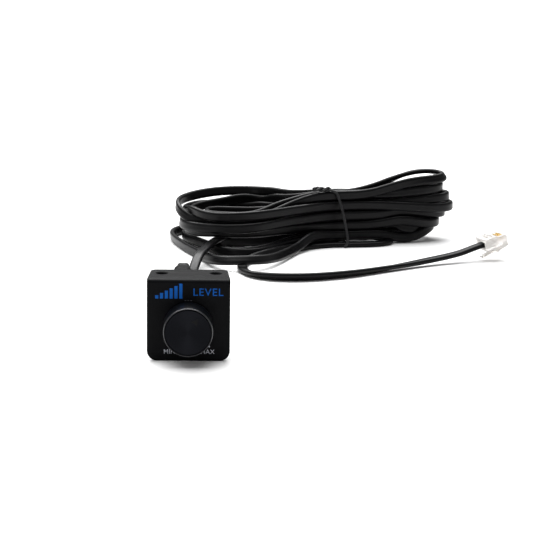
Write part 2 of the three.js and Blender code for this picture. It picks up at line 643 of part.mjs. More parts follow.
function latchSolid() {
  const arm = polygon([
    [-PLUG_L - 1.2, -0.45], [-5.2, -0.45], [-5.2, -1.05], [-3.4, -0.45], [0.3, -0.45],
    [0.5, -0.25], [0.5, 0.1], [0.3, 0.3], [-PLUG_L - 1.2, 0.45],
  ]);
  const taper = new THREE.Shape();
  taper.moveTo(1, -3.2);
  taper.lineTo(1, 3.2);
  taper.lineTo(-5, 3.2);
  taper.lineTo(-6.2, 1.7);
  taper.lineTo(-PLUG_L - 2, 1.6);
  taper.lineTo(-PLUG_L - 2, -1.6);
  taper.lineTo(-6.2, -1.7);
  taper.lineTo(-5, -3.2);
  return toSolid(slabY(arm, -3.1, 3.1)).intersect(toSolid(slabZ(taper, -3, 3)));
}
add('plug_latch', latchSolid(), CLEAR, [0, 0, 0], [0, 0, 0], latchHinge);

export default unit;
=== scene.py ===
import math
import bpy
import bmesh
import numpy as np
from mathutils import Matrix, Vector


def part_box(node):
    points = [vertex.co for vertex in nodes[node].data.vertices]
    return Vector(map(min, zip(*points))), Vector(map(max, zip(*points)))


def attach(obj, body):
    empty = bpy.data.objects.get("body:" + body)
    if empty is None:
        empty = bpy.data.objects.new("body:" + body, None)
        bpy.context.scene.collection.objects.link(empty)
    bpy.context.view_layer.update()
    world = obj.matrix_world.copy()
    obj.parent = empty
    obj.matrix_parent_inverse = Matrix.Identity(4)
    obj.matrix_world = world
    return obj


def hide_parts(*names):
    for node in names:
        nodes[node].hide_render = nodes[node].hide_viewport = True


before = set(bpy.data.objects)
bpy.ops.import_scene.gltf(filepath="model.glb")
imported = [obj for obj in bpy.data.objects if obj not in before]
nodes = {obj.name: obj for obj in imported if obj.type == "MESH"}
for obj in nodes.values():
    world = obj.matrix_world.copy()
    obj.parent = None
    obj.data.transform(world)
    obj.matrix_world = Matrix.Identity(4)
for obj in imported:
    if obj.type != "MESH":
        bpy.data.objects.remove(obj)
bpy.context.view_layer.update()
scene = bpy.context.scene
MM = 0.001
Y_SHIFT = -9.0  # the row frame's origin is 9 mm behind the bracket's front face
rng = np.random.default_rng(7)


def row(p):
    """A point in millimetres from the bracket's front face, as a row frame point in metres."""
    return Vector((p[0] * MM, (p[1] + Y_SHIFT) * MM, p[2] * MM))


# ---- camera -----------------------------------------------------------------

CAMERA_AT = (9.48, -734.19, 195.24)
CAMERA_TURN = (1.76, 12.14, 0.79)  # yaw to the right, pitch down and roll, in degrees
CAMERA_LENS = 127.0
CAMERA_SENSOR = 36


def make_camera():
    """A long lens in front of the plate and a little above it."""
    yaw, pitch, roll = (math.radians(a) for a in CAMERA_TURN)
    forward = Vector((math.sin(yaw) * math.cos(pitch), math.cos(yaw) * math.cos(pitch), -math.sin(pitch)))
    level = forward.cross(Vector((0, 0, 1))).normalized()
    upright = level.cross(forward)
    right = level * math.cos(roll) + upright * math.sin(roll)
    up = -level * math.sin(roll) + upright * math.cos(roll)
    data = bpy.data.cameras.new("camera")
    data.sensor_width = CAMERA_SENSOR
    data.lens = CAMERA_LENS
    data.clip_start = 0.02
    data.clip_end = 20
    camera = bpy.data.objects.new("camera", data)
    turn = Matrix((right, up, -forward)).transposed().to_4x4()
    camera.matrix_world = Matrix.Translation(row(CAMERA_AT)) @ turn
    scene.collection.objects.link(camera)
    scene.camera = camera


make_camera()

# ---- the flat cord: one line from the strain relief to the plug --------------

CORD_W, CORD_T = 5.0, 2.5
ROW = 5.2  # height of one layer of strands that lie on their edges
BASE_ROW = 4.3  # height of the lowest layer's middle under the tie
TIE = np.array([76.0, 244.0])
HEADING = math.radians(16)  # the hank's turn from the x axis
EXIT = (-2.9, 30.0, 30.6)  # where the cord leaves the strain relief
AXIS = np.array([math.cos(HEADING), math.sin(HEADING)])
SIDE = np.array([-AXIS[1], AXIS[0]])


def at_tie(along, across, z, lean=0.0):
    """A route point by its distance from the tie along and across the hank."""
    p = TIE + AXIS * along + SIDE * across
    return [p[0], p[1], z, lean]


def left_lobe(end, near, far, z, col, z_near, z_end, z_far, lean=0.0, tuck=0.0, far_lean=None):
    """From the near side of the tie, leftward round the open end, and back to its far side.

    end, near and far are places in x and y. z is the height at the tie, where the strand is col from its
    middle, and tuck draws the near side in toward the middle.
    """
    if far_lean is None:
        far_lean = lean * 0.5
    return [
        at_tie(0, -col, z),
        at_tie(-14, -col * 1.15 - 1.2 + tuck * 0.4, z),
        at_tie(-32, -col - 8 + tuck, (z + z_near) / 2),
        [near[0] + 4, near[1] + 0.5, z_near, 0],
        [near[0] - 14, near[1] - 0.5, z_near * 0.9 + z_end * 0.1, lean * 0.5],
        [end[0] + 5, (near[1] + end[1]) / 2 - 3, (z_near + z_end) / 2, lean],
        [end[0], end[1], z_end, lean],
        [end[0] + 6, (far[1] + end[1]) / 2 + 4, (z_far + z_end) / 2, (lean + far_lean) / 2],
        [far[0] - 12, far[1] - 1, z_far, far_lean],
        [far[0] + 8, far[1] + 0.5, z_far, far_lean * 0.6],
        at_tie(-28, col + 6, (z + z_far) / 2),
        at_tie(-12, col * 1.1 + 1.2, z),
        at_tie(0, col, z),
    ]


def right_lobe(reach, half, z0, z_end, z1, col0, col1, lean=0.0, sides=0.5):
    """From the far side of the tie, rightward round the closed end, and back to its near side.

    The lobe reaches that far from the tie and is half that wide to each side. It starts at height z0 and
    distance col0 from the tie's middle, and ends at z1 and col1.
    """
    return [
        at_tie(14, col0 + 1.5, z0 + (z_end - z0) * 0.15),
        at_tie(30, half * 0.85 + 1, z0 + (z_end - z0) * 0.5),
        at_tie(reach - 20, half, z0 + (z_end - z0) * 0.88, lean * sides),
        at_tie(reach - 7.2, half * 0.97, z_end, lean),
        at_tie(reach, 0, z_end, lean),
        at_tie(reach - 7.2, -half * 0.97, z_end, lean),
        at_tie(reach - 21, -half, z_end + (z1 - z_end) * 0.2, lean * sides),
        at_tie(31, -half * 0.85 - 1, z1 + (z_end - z1) * 0.45, lean * sides * 0.5),
        at_tie(14, -col1 - 1.5, z1 + (z_end - z1) * 0.12),
    ]


PLUG_POS = np.array([144.4, 200.0, 7.9])
PLUG_HEADING, PLUG_PITCH = math.radians(24), math.radians(14)
PLUG_AXIS = np.array([
    math.cos(PLUG_HEADING) * math.cos(PLUG_PITCH),
    math.sin(PLUG_HEADING) * math.cos(PLUG_PITCH),
    math.sin(PLUG_PITCH),
])


def lead_points():
    """From the strain relief down to the floor and back up into the hank."""
    lead = [
        [-2.9, 30.3, 30.7], [-2.9, 32.5, 30.95], [-2.8, 38, 30.6], [-2.7, 47, 27.9], [-2.5, 57, 22.8],
        [-2.3, 67, 16.3], [-2.1, 77, 10], [-1.9, 88, 4.8], [-1.6, 101, 2.0], [-1.2, 118, 1.4],
        [-0.9, 138, 1.4], [-0.2, 154, 2.1], [1.0, 166, 4.2], [2.8, 176, 6.6], [5.2, 186, 7.3],
        [7.6, 196, 7.4], [10, 206, 7.3], [12.6, 217, 6.6],
    ]
    turning = [[17, 229, 5.8, 60], [26, 240, 6.0, 20], [38, 247, 6.8, 0]]
    return [[*p, 90.0] for p in lead] + turning


def hank_points():
    """The turns from the second layer up to the top."""
    z = [BASE_ROW + ROW * layer for layer in range(5)]
    pts = [at_tie(-20, 3.5, 7.4), at_tie(0, 3.0, z[1])]
    pts += right_lobe(54.6, 10.2, z[1], 10.0, z[1], 3.0, 3.9)
    pts += left_lobe((-4.5, 233), (24, 212), (24, 252), z[1], 3.9, 10.6, 9.4, 7.4, 0, 2.0)
    pts += right_lobe(51.2, 7.8, z[1], 12.0, z[2], 3.9, 1.3)
    pts += left_lobe((4, 233), (26, 219), (26, 244), z[2], 1.3, 12.6, 12.2, 11.6, 0, 3.0)
    pts += right_lobe(58.7, 8.0, z[2], 14.4, z[2], 1.3, 3.9)
    pts += left_lobe((-6.8, 230), (24, 205.5), (24, 256), z[2], 3.9, 14.2, 13.0, 12.6, 8)
    pts += right_lobe(62.4, 9.8, z[2], 17.8, z[3], 3.9, 3.9)
    pts += left_lobe((-4.6, 230), (23, 208), (24, 257), z[3], 3.9, 19.8, 18.8, 17.4, -6)
    pts += right_lobe(60.8, 8.2, z[3], 22.8, z[3], 3.9, 1.3)
    pts += left_lobe((5.5, 235), (28, 225), (29, 247), z[3], 1.3, 16.4, 16.4, 15.6, -12, 6.0)
    pts += right_lobe(57.2, 7.8, z[3], 28.0, z[4], 1.3, 1.3)
    pts += left_lobe((-3.0, 232), (27, 222), (27, 257), z[4], 1.3, 17.6, 18.2, 18.4, 10, 7.0)
    # the top loop lies over on its side at the far edge and stands up again at its end
    pts += [
        at_tie(14, 2.8, 26.6), at_tie(28, 6.0, 30.2, 30), at_tie(39, 7.6, 33.4, 66),
        at_tie(49, 7.8, 34.9, 74), at_tie(56.6, 3.6, 34.3, 52), at_tie(57.4, -3.2, 33.0, 26),
        at_tie(50.5, -7.6, 32.4, 12),
        at_tie(38, -7.9, 31.3, 6), at_tie(26, -6.8, 28.6), at_tie(14, -5.4, 26.2),
    ]
    pts += left_lobe((-8.8, 230), (24, 216), (25, 261), z[4], 3.9, 15.6, 21.4, 23.8, 6, 6.5, -26)
    return pts


def low_points():
    """Down the far side of the closed end to the floor, then the loose bottom turns."""
    pts = [at_tie(14, 6.6, 22.5), at_tie(28, 11.6, 16.5), at_tie(40, 11.6, 10.0), at_tie(48, 8.0, 8.0)]
    pts += [at_tie(52, 0, 7.8), at_tie(45, -8.6, 7.2), at_tie(31, -8.0, 5.6), at_tie(14, -6.2, BASE_ROW)]
    pts += [
        at_tie(0, -6.4, 4.8), at_tie(-9, -7.8, 5.2, 8), [60, 225, 4.6, 14], [52.5, 213, 3.4, 20],
        [46.5, 199, 3.2, 26], [39.5, 183.5, 3.9, 34], [31, 172, 5.0, 42], [21.5, 168.2, 5.3, 46],
        [13.5, 173, 4.6, 36], [8.2, 184, 3.2, 20], [3.6, 196, 2.7, 8], [-2.2, 210, 2.65, 4],
        [-7, 224, 2.6, 0], [-10.8, 239, 2.6, 0], [-11.8, 250, 2.6, 0], [-8, 261, 2.6, 0],
        [2, 267, 2.6, 0], [15, 268, 2.7, 0], [31, 264.5, 3.2, 0],
        at_tie(-28, 11, 4.0), at_tie(-12, 6.0, 4.0), at_tie(0, 3.9, BASE_ROW),
    ]
    pts += right_lobe(48.4, 8.4, BASE_ROW, 6.8, BASE_ROW, 3.9, 1.3)
    pts += left_lobe((10, 220), (27, 205), (29, 230.5), BASE_ROW, 1.4, 2.7, 2.7, 2.7)
    pts += right_lobe(43.4, 7.4, BASE_ROW, 6.0, BASE_ROW, 1.5, 2.6)
    return pts


def floor_points():
    """The last turns, which lie on the floor, and the tail that runs out from under them."""
    pts = [
        at_tie(0, -3.9, BASE_ROW), at_tie(-14, -6.8, 3.4), at_tie(-31, -13, 2.8, 8), [37, 206.5, 2.6, 12],
        [27, 198, 2.6, 14], [16.5, 203, 2.6, 12], [8.6, 216, 2.6, 6], [1, 231, 2.6, 0], [-5, 244, 2.6, 0],
        [-5.6, 253.5, 2.6, 0], [1, 261, 2.7, 0], [14, 263.5, 2.7, 0], [32, 260.5, 2.8, 0],
        at_tie(-28, 10.4, 2.8), at_tie(-12, 7.6, 2.2, 50), at_tie(0, 6.8, 1.4, 88), at_tie(8, 7.6, 1.35, 90),
        at_tie(16, 6.0, 1.35, 90), at_tie(22.4, 0.5, 1.35, 90), at_tie(24.4, -7, 1.35, 90),
        at_tie(20.5, -13.0, 1.35, 90), at_tie(10, -15.0, 1.35, 90), at_tie(2, -13.8, 1.35, 90),
        at_tie(-7, -12.0, 1.35, 90), at_tie(-17, -12.4, 1.4, 84), at_tie(-28, -16.4, 1.9, 62),
        [38.5, 202.5, 2.4, 30], [30.5, 192.5, 2.2, 50], [25, 182.5, 1.6, 80],
        [23.8, 173.5, 1.35, 90], [25, 163, 1.5, 80], [30.2, 153.4, 1.9, 62], [40, 148.2, 2.1, 50],
        [55, 148.6, 2.1, 48],
        [74, 156.6, 2.0, 56], [94, 170.8, 1.8, 70], [113, 184, 2.45, 90],
    ]
    return pts


def plug_points():
    """Straight into the back of the plug."""
    return [[*(PLUG_POS - PLUG_AXIS * d), 90.0] for d in (14, 5, 0, -6.4)]


def route_points():
    """Control points: x, y, z in millimetres and the lean of the cord's width from upright in degrees."""
    stretches = [lead_points(), hank_points(), low_points(), floor_points(), plug_points()]
    return np.array([p for stretch in stretches for p in stretch], float)


CURVE_STEPS = 16  # steps between two control points before the line is made even


def even_line(points, step):
    """A smooth line through the points, in even steps."""
    ends = np.vstack([2 * points[0] - points[1], points, 2 * points[-1] - points[-2]])
    parts = []
    for i in range(1, len(ends) - 2):
        p0, p1, p2, p3 = ends[i - 1:i + 3]
        t = [0.0]
        for a, b in ((p0, p1), (p1, p2), (p2, p3)):
            t.append(t[-1] + np.linalg.norm((b - a)[:3]) ** 0.5)
        u = np.linspace(t[1], t[2], CURVE_STEPS, endpoint=False)[:, None]

        def mix(a, b, ta, tb):
            return (tb - u) / (tb - ta) * a + (u - ta) / (tb - ta) * b

        a1, a2, a3 = mix(p0, p1, t[0], t[1]), mix(p1, p2, t[1], t[2]), mix(p2, p3, t[2], t[3])
        parts.append(mix(mix(a1, a2, t[0], t[2]), mix(a2, a3, t[1], t[3]), t[1], t[2]))
    dense = np.vstack([*parts, points[-1:]])
    s = np.r_[0, np.cumsum(np.linalg.norm(np.diff(dense[:, :3], axis=0), axis=1))]
    u = np.linspace(0, s[-1], int(round(s[-1] / step)) + 1)
    return np.stack([np.interp(u, s, dense[:, k]) for k in range(4)], 1)


LEAST_GAP = 2.8  # between the middles of two strands side by side
TALLER = 0.5  # strands stand on edge, so they need twice the room upwards
OWN_POINTS = 6  # points this near along the line belong to the strand itself
SETTLE_ROUNDS = 90
LARGEST_PUSH = 0.9
PUSH_SHARE, BEND_SHARE, HOME_SHARE = 0.35, 0.5, 0.01
FIXED_START, FIXED_END = 70, 80  # points of the lead and the tail that stay where they are
BLOCK = 256  # points compared at a time
FLOOR_GAP = 0.05


def pushes(flat, index):
    """The push on each point from the strands that are too near it."""
    push = np.zeros((len(flat), 3))
    for a in range(0, len(flat), BLOCK):
        away = flat[a:a + BLOCK, None, :] - flat[None, :, :]
        reach = np.sqrt((away ** 2).sum(2)) + 1e-9
        near = (reach < LEAST_GAP) & (np.abs(index[a:a + BLOCK, None] - index[None, :]) > OWN_POINTS)
        push[a:a + BLOCK] = (away * np.where(near, (LEAST_GAP - reach) / reach, 0.0)[:, :, None]).sum(1)
    size = np.linalg.norm(push, axis=1, keepdims=True)
    return push * np.minimum(1, LARGEST_PUSH / (size + 1e-9))


def settle(line):
    """Push neighbouring strands apart and rest them on the floor, keeping the line smooth."""
    line = line.copy()
    home = line.copy()
    n = len(line)
    index = np.arange(n)
    lean = np.radians(line[:, 3])
    floor = CORD_W / 2 * np.abs(np.cos(lean)) + CORD_T / 2 * np.abs(np.sin(lean)) + FLOOR_GAP
    loose = (index >= FIXED_START) & (index < n - FIXED_END)
    squash = np.array([1.0, 1.0, TALLER])
    for _ in range(SETTLE_ROUNDS):
        p = line[:, :3] + PUSH_SHARE * pushes(line[:, :3] * squash, index)
        lap = np.zeros_like(p)
        lap[1:-1] = (p[:-2] + p[2:]) / 2 - p[1:-1]
        bend = np.zeros_like(p)
        bend[1:-1] = (lap[:-2] + lap[2:]) / 2 - lap[1:-1]
        p -= BEND_SHARE * bend
        p += HOME_SHARE * (home[:, :3] - p)
        p[:, 2] = np.maximum(p[:, 2], floor)
        line[loose, :3] = p[loose]
    return line


def wander(n, span, size):
    """Smooth seeded noise along a line."""
    knots = rng.normal(0, size, n // span + 3)
    return np.interp(np.arange(n), np.arange(len(knots)) * span, knots)


def face_outward(mesh):
    """Turn every face's normal to the outside."""
    bm = bmesh.new()
    bm.from_mesh(mesh)
    bmesh.ops.recalc_face_normals(bm, faces=bm.faces)
    bm.to_mesh(mesh)
    bm.free()


def smooth(mesh):
    mesh.polygons.foreach_set("use_smooth", [True] * len(mesh.polygons))


def tube_faces(rings, sides):
    """Faces between rings of points, with a cap at each end."""
    faces = []
    for i in range(rings - 1):
        for k in range(sides):
            k2 = (k + 1) % sides
            faces.append((i * sides + k, i * sides + k2, (i + 1) * sides + k2, (i + 1) * sides + k))
    faces.append(tuple(range(sides))[::-1])
    faces.append(tuple(range((rings - 1) * sides, rings * sides)))
    return faces


def in_scene(name, mesh):
    obj = bpy.data.objects.new(name, mesh)
    scene.collection.objects.link(obj)
    return obj


UV_ROUND = 0.014  # the distance round the cord that its texture covers


def sweep_mesh(name, line, section):
    """Flat or round section swept along a line; returns the object and its ring centres."""
    pos = line[:, :3]
    n, m = len(pos), len(section)
    tangent = np.gradient(pos, axis=0)
    tangent /= np.linalg.norm(tangent, axis=1, keepdims=True)
    side = np.cross(tangent, [0, 0, 1.0])
    side /= np.maximum(np.linalg.norm(side, axis=1, keepdims=True), 1e-6)
    up = np.cross(side, tangent)
    lean = np.radians(line[:, 3])[:, None]
    width = np.cos(lean) * up + np.sin(lean) * side
    thick = np.cross(tangent, width)
    verts = (pos[:, None, :] + section[None, :, 0:1] * width[:, None, :]
             + section[None, :, 1:2] * thick[:, None, :]).reshape(-1, 3)
    mesh = bpy.data.meshes.new(name)
    mesh.from_pydata([row(v) for v in verts], [], tube_faces(n, m))
    uv = mesh.uv_layers.new(name="along")
    lengths = np.r_[0, np.cumsum(np.linalg.norm(np.diff(pos, axis=0), axis=1))] * MM
    for f in mesh.polygons:
        for corner, v in zip(f.loop_indices, f.vertices):
            uv.data[corner].uv = (lengths[v // m], (v % m) / m * UV_ROUND)
    smooth(mesh)
    face_outward(mesh)
    return in_scene(name, mesh), [row(p) for p in pos]


def round_section(radius, count=10):
    a = np.linspace(0, 2 * math.pi, count, endpoint=False)
    return np.stack([radius * np.cos(a), radius * np.sin(a)], 1)


def flat_section(w, t, per_end=7):
    """Outline of a flat cord: two round edges and two very slightly waisted faces."""
    r = t / 2
    waist_at, waist = 0.35, 0.06
    pts = []
    for sign in (1, -1):
        for k in range(per_end):
            a = math.pi * k / (per_end - 1)
            pts.append((sign * ((w / 2 - r) + r * math.sin(a)), sign * r * math.cos(a)))
        pts.append((sign * (w / 2 - r) * waist_at, -sign * (r - waist)))
        pts.append((-sign * (w / 2 - r) * waist_at, -sign * (r - waist)))
    return np.array(pts)


ROUTE_STEP, CORD_STEP = 3.0, 2.0
LEAD_STEPS, TAIL_STEPS, FADE_STEPS = 115, 105, 30
TWIST_SPAN, TWIST_SIZE = 22, 7.0  # steps between changes of twist, and their size in degrees


def laid_line():
    """The settled route in even steps, with small uneven twists inside the hank."""
    line = even_line(settle(even_line(route_points(), ROUTE_STEP)), CORD_STEP)
    count = len(line)
    index = np.arange(count)
    past_lead = np.clip((index - LEAD_STEPS) / FADE_STEPS, 0, 1)
    before_tail = np.clip((count - TAIL_STEPS - index) / FADE_STEPS, 0, 1)
    line[:, 3] += wander(count, TWIST_SPAN, TWIST_SIZE) * (past_lead * before_tail)
    return line


line = laid_line()
cord, cord_path = sweep_mesh("flat_cord", line, flat_section(CORD_W, CORD_T))

# ---- materials ---------------------------------------------------------------

def noise(tree, scale, detail):
    node = tree.nodes.new("ShaderNodeTexNoise")
    node.inputs["Scale"].default_value = scale
    node.inputs["Detail"].default_value = detail
    return node


def colour_by(tree, value, dark, light):
    """The base colour goes from dark to light with a noise value."""
    ramp = tree.nodes.new("ShaderNodeValToRGB")
    for stop, place, shade in zip(ramp.color_ramp.elements, (0.3, 0.7), (dark, light)):
        stop.position = place
        stop.color = (*shade, 1)
    tree.links.new(value, ramp.inputs["Fac"])
    tree.links.new(ramp.outputs["Color"], tree.nodes["Principled BSDF"].inputs["Base Color"])


def roughen_by(tree, value, low, high):
    spread = tree.nodes.new("ShaderNodeMapRange")
    spread.inputs["To Min"].default_value = low
    spread.inputs["To Max"].default_value = high
    tree.links.new(value, spread.inputs["Value"])
    tree.links.new(spread.outputs["Result"], tree.nodes["Principled BSDF"].inputs["Roughness"])


def bump_by(tree, value, strength, distance, target):
    bump = tree.nodes.new("ShaderNodeBump")
    bump.inputs["Strength"].default_value = strength
    bump.inputs["Distance"].default_value = distance
    tree.links.new(value, bump.inputs["Height"])
    tree.links.new(bump.outputs["Normal"], target)
    return bump


def shader(name, base, rough, metal=0.0, spec=0.5, grain=0.0, grain_scale=3000.0, tint=0.25,
           tint_scale=300.0, rough_vary=0.12, ior=None, transmission=0.0, sheen=0.0):
    """Principled surface whose colour, roughness and bump vary at the material's own scale."""
    mat = bpy.data.materials.new(name)
    mat.use_nodes = True
    tree = mat.node_tree
    bsdf = tree.nodes["Principled BSDF"]
    bsdf.inputs["Metallic"].default_value = metal
    bsdf.inputs["Specular IOR Level"].default_value = spec
    bsdf.inputs["Sheen Weight"].default_value = sheen
    bsdf.inputs["Transmission Weight"].default_value = transmission
    if ior:
        bsdf.inputs["IOR"].default_value = ior
    coord = tree.nodes.new("ShaderNodeTexCoord")
    broad = noise(tree, tint_scale, 4)
    tree.links.new(coord.outputs["Object"], broad.inputs["Vector"])
    dark = [c * (1 - tint) for c in base]
    light = [min(1.0, c * (1 + tint)) for c in base]
    colour_by(tree, broad.outputs["Fac"], dark, light)
    fine = noise(tree, grain_scale, 3)
    tree.links.new(coord.outputs["Object"], fine.inputs["Vector"])
    roughen_by(tree, fine.outputs["Fac"], max(0.02, rough - rough_vary), min(1.0, rough + rough_vary))
    if grain:
        bump_by(tree, fine.outputs["Fac"], grain, 0.00004, bsdf.inputs["Normal"])
    return mat


def dress(obj, mat):
    """Give the object this one material."""
    obj.data.materials.clear()
    obj.data.materials.append(mat)
    return obj


paint = shader("bracket_paint", (0.0022, 0.0023, 0.0029), 0.44, spec=0.045, grain=0.5, grain_scale=5200,
               tint=0.15, sheen=0.02)
pod_mat = shader("pod_plastic", (0.010, 0.0105, 0.012), 0.6, spec=0.3, grain=0.7, grain_scale=3600)
knob_mat = shader("knob_plastic", (0.0016, 0.0021, 0.003), 0.4, spec=0.06, grain=0.25, grain_scale=4200)
steel = shader("plated_steel", (0.55, 0.56, 0.58), 0.32, metal=1.0, grain=0.25, grain_scale=2400, tint=0.08)
brass = shader("turned_brass", (0.60, 0.43, 0.18), 0.3, metal=1.0, grain=0.25, grain_scale=2400, tint=0.1)
gold = shader("gold_plate", (0.80, 0.56, 0.20), 0.25, metal=1.0, grain=0.1, grain_scale=3000, tint=0.05)
board_mat = shader("solder_resist", (0.012, 0.09, 0.04), 0.4, spec=0.5, grain=0.3, grain_scale=900, tint=0.3)
chip_mat = shader("moulded_chip", (0.012, 0.012, 0.013), 0.55, spec=0.3, grain=0.5, grain_scale=5000)
ceramic = shader("ceramic_body", (0.30, 0.18, 0.09), 0.6, grain=0.3, grain_scale=4000, tint=0.15)
track_mat = shader("carbon_track", (0.01, 0.009, 0.009), 0.7, grain=0.6, grain_scale=6000)
boot_mat = shader("boot_pvc", (0.0050, 0.0047, 0.0048), 0.6, spec=0.06, grain=0.6, grain_scale=3200)
tie_mat = shader("tie_coating", (0.012, 0.012, 0.013), 0.45, spec=0.4, grain=0.3, grain_scale=2600)
wire_mats = [
    shader("wire_black", (0.01, 0.01, 0.011), 0.4, grain=0.1),
    shader("wire_red", (0.35, 0.02, 0.02), 0.4, grain=0.1),
    shader("wire_green", (0.02, 0.16, 0.05), 0.4, grain=0.1),
    shader("wire_yellow", (0.50, 0.34, 0.02), 0.4, grain=0.1),
]


def cord_shader():
    """Satin PVC with faint lines along it from the extruder."""
    mat = shader("cord_jacket", (0.0021, 0.0021, 0.0025), 0.33, spec=0.13, grain=0.25, grain_scale=2600,
                 tint=0.3, tint_scale=120)
    tree = mat.node_tree
    uv = tree.nodes.new("ShaderNodeUVMap")
    uv.uv_map = "along"
    stretch = tree.nodes.new("ShaderNodeMapping")
    stretch.inputs["Scale"].default_value = (60, 2600, 1)
    tree.links.new(uv.outputs["UV"], stretch.inputs["Vector"])
    lines = noise(tree, 1, 3)
    tree.links.new(stretch.outputs["Vector"], lines.inputs["Vector"])
    grain = tree.nodes["Principled BSDF"].inputs["Normal"].links[0].from_node
    bump_by(tree, lines.outputs["Fac"], 0.45, 0.00008, grain.inputs["Normal"])
    return mat


KNOB_AXIS_Z = 0.0144  # height of the dial's axis in metres


def distance_from_axis(tree):
    """How far a point of the surface is from the dial's axis."""
    coord = tree.nodes.new("ShaderNodeTexCoord")
    shift = tree.nodes.new("ShaderNodeMapping")
    shift.inputs["Location"].default_value = (0, 0, -KNOB_AXIS_Z)
    tree.links.new(coord.outputs["Object"], shift.inputs["Vector"])
    parts = tree.nodes.new("ShaderNodeSeparateXYZ")
    tree.links.new(shift.outputs["Vector"], parts.inputs["Vector"])
    total = tree.nodes.new("ShaderNodeMath")
    for slot, axis in enumerate(("X", "Z")):
        square = tree.nodes.new("ShaderNodeMath")
        square.operation = "MULTIPLY"
        tree.links.new(parts.outputs[axis], square.inputs[0])
        tree.links.new(parts.outputs[axis], square.inputs[1])
        tree.links.new(square.outputs[0], total.inputs[slot])
    root = tree.nodes.new("ShaderNodeMath")
    root.operation = "SQRT"
    tree.links.new(total.outputs[0], root.inputs[0])
    return root.outputs[0]


def face_shader():
    """Turned disc: fine rings round the axis, and a sheen that fans out from the centre."""
    mat = bpy.data.materials.new("turned_face")
    mat.use_nodes = True
    tree = mat.node_tree
    bsdf = tree.nodes["Principled BSDF"]
    bsdf.inputs["Metallic"].default_value = 1.0
    bsdf.inputs["Anisotropic"].default_value = 0.85
    tangent = tree.nodes.new("ShaderNodeTangent")
    tangent.direction_type = "RADIAL"
    tangent.axis = "Y"
    tree.links.new(tangent.outputs["Tangent"], bsdf.inputs["Tangent"])
    rings = noise(tree, 9000, 4)
    rings.noise_dimensions = "1D"
    tree.links.new(distance_from_axis(tree), rings.inputs["W"])
    colour_by(tree, rings.outputs["Fac"], (0.0052, 0.0055, 0.0068), (0.0098, 0.0102, 0.0122))
    roughen_by(tree, rings.outputs["Fac"], 0.32, 0.5)
    bump_by(tree, rings.outputs["Fac"], 0.25, 0.00002, bsdf.inputs["Normal"])
    return mat


cord_mat = cord_shader()
face_mat = face_shader()
clear_mat = shader("clear_plastic", (0.95, 0.925, 0.90), 0.2, spec=0.4, grain=0.12, grain_scale=1800,
                   tint=0.03, rough_vary=0.06, ior=1.4, transmission=0.55)

dress(cord, cord_mat)
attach(cord, "unit")
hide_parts("cord_lead", "cord_hank", "cord_tail")

# ---- refined copies of the visible CAD shells ---------------------------------

SAME_POINT = 2e-6  # points this near are one point, in metres
FLAT_ANGLE, EDGE_ANGLE = 0.8, 28  # degrees between faces that count as flat, and as an edge


def refined(node, name, mat, bevel, body, segments=3):
    """The node's own shape with its edges rounded off, shaded smooth."""
    mesh = nodes[node].data.copy()
    mesh.name = name
    bm = bmesh.new()
    bm.from_mesh(mesh)
    bmesh.ops.remove_doubles(bm, verts=bm.verts, dist=SAME_POINT)
    bmesh.ops.dissolve_limit(bm, angle_limit=math.radians(FLAT_ANGLE), verts=bm.verts, edges=bm.edges)
    bm.to_mesh(mesh)
    bm.free()
    smooth(mesh)
    obj = in_scene(name, mesh)
    mod = obj.modifiers.new("edges", "BEVEL")
    mod.width = bevel * MM
    mod.segments = segments
    mod.limit_method = "ANGLE"
    mod.angle_limit = math.radians(EDGE_ANGLE)
    mod.harden_normals = True
    mod.use_clamp_overlap = True
    dress(obj, mat)
    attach(obj, body)
    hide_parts(node)
    return obj


refined("mounting_bracket", "bracket_sheet", paint, 0.3, "unit")
refined("pod_shell", "pod_tub", pod_mat, 0.35, "unit")
refined("bushing_nut", "hex_nut", steel, 0.12, "unit", 2)
refined("plug_body", "plug_moulding", clear_mat, 0.16, "unit", 2)
refined("plug_latch", "plug_lever", clear_mat, 0.14, "latch", 2)
refined("plug_anchor", "plug_wedge", clear_mat, 0.12, "unit", 2)

looks = {
    "pot_frame": steel, "pot_base": pod_mat, "pot_track": track_mat, "pot_shaft": steel, "pot_wiper": brass,
    "knob_insert": brass, "lock_washer": steel, "circuit_board": board_mat, "buffer_chip": chip_mat,
    "board_resistor_1": chip_mat, "board_resistor_2": chip_mat, "board_capacitor": ceramic,
    "jacket_end": cord_mat, "cord_ferrule": steel, "strain_relief": boot_mat, "cord_tie": tie_mat,
}
for i in range(1, 5):
    looks[f"pod_post_{i}"] = brass
    looks[f"pod_screw_{i}"] = steel
    looks[f"plug_contact_{i}"] = gold
    looks[f"lead_wire_{i}"] = wire_mats[i - 1]
for i in range(1, 4):
    looks[f"pot_terminal_{i}"] = steel
for node, mat in looks.items():
    dress(nodes[node], mat)

# ---- knob: a turned moulding with rounded edges and a finely grooved metal face ----

def lathe(name, profile, centre, mat, body, stands_for, count=96, sharp=35):
    """Turn a closed profile of radius and depth in millimetres round the dial's axis."""
    verts = []
    for r, y in profile:
        for k in range(count):
            t = 2 * math.pi * k / count
            verts.append(row((centre[0] + r * math.cos(t), y, centre[1] + r * math.sin(t))))
    mesh = bpy.data.meshes.new(name)
    mesh.from_pydata(verts, [], tube_faces(len(profile), count))
    face_outward(mesh)
    smooth(mesh)
    mesh.set_sharp_from_angle(angle=math.radians(sharp))
    obj = dress(in_scene(name, mesh), mat)
    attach(obj, body)
    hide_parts(stands_for)
    return obj


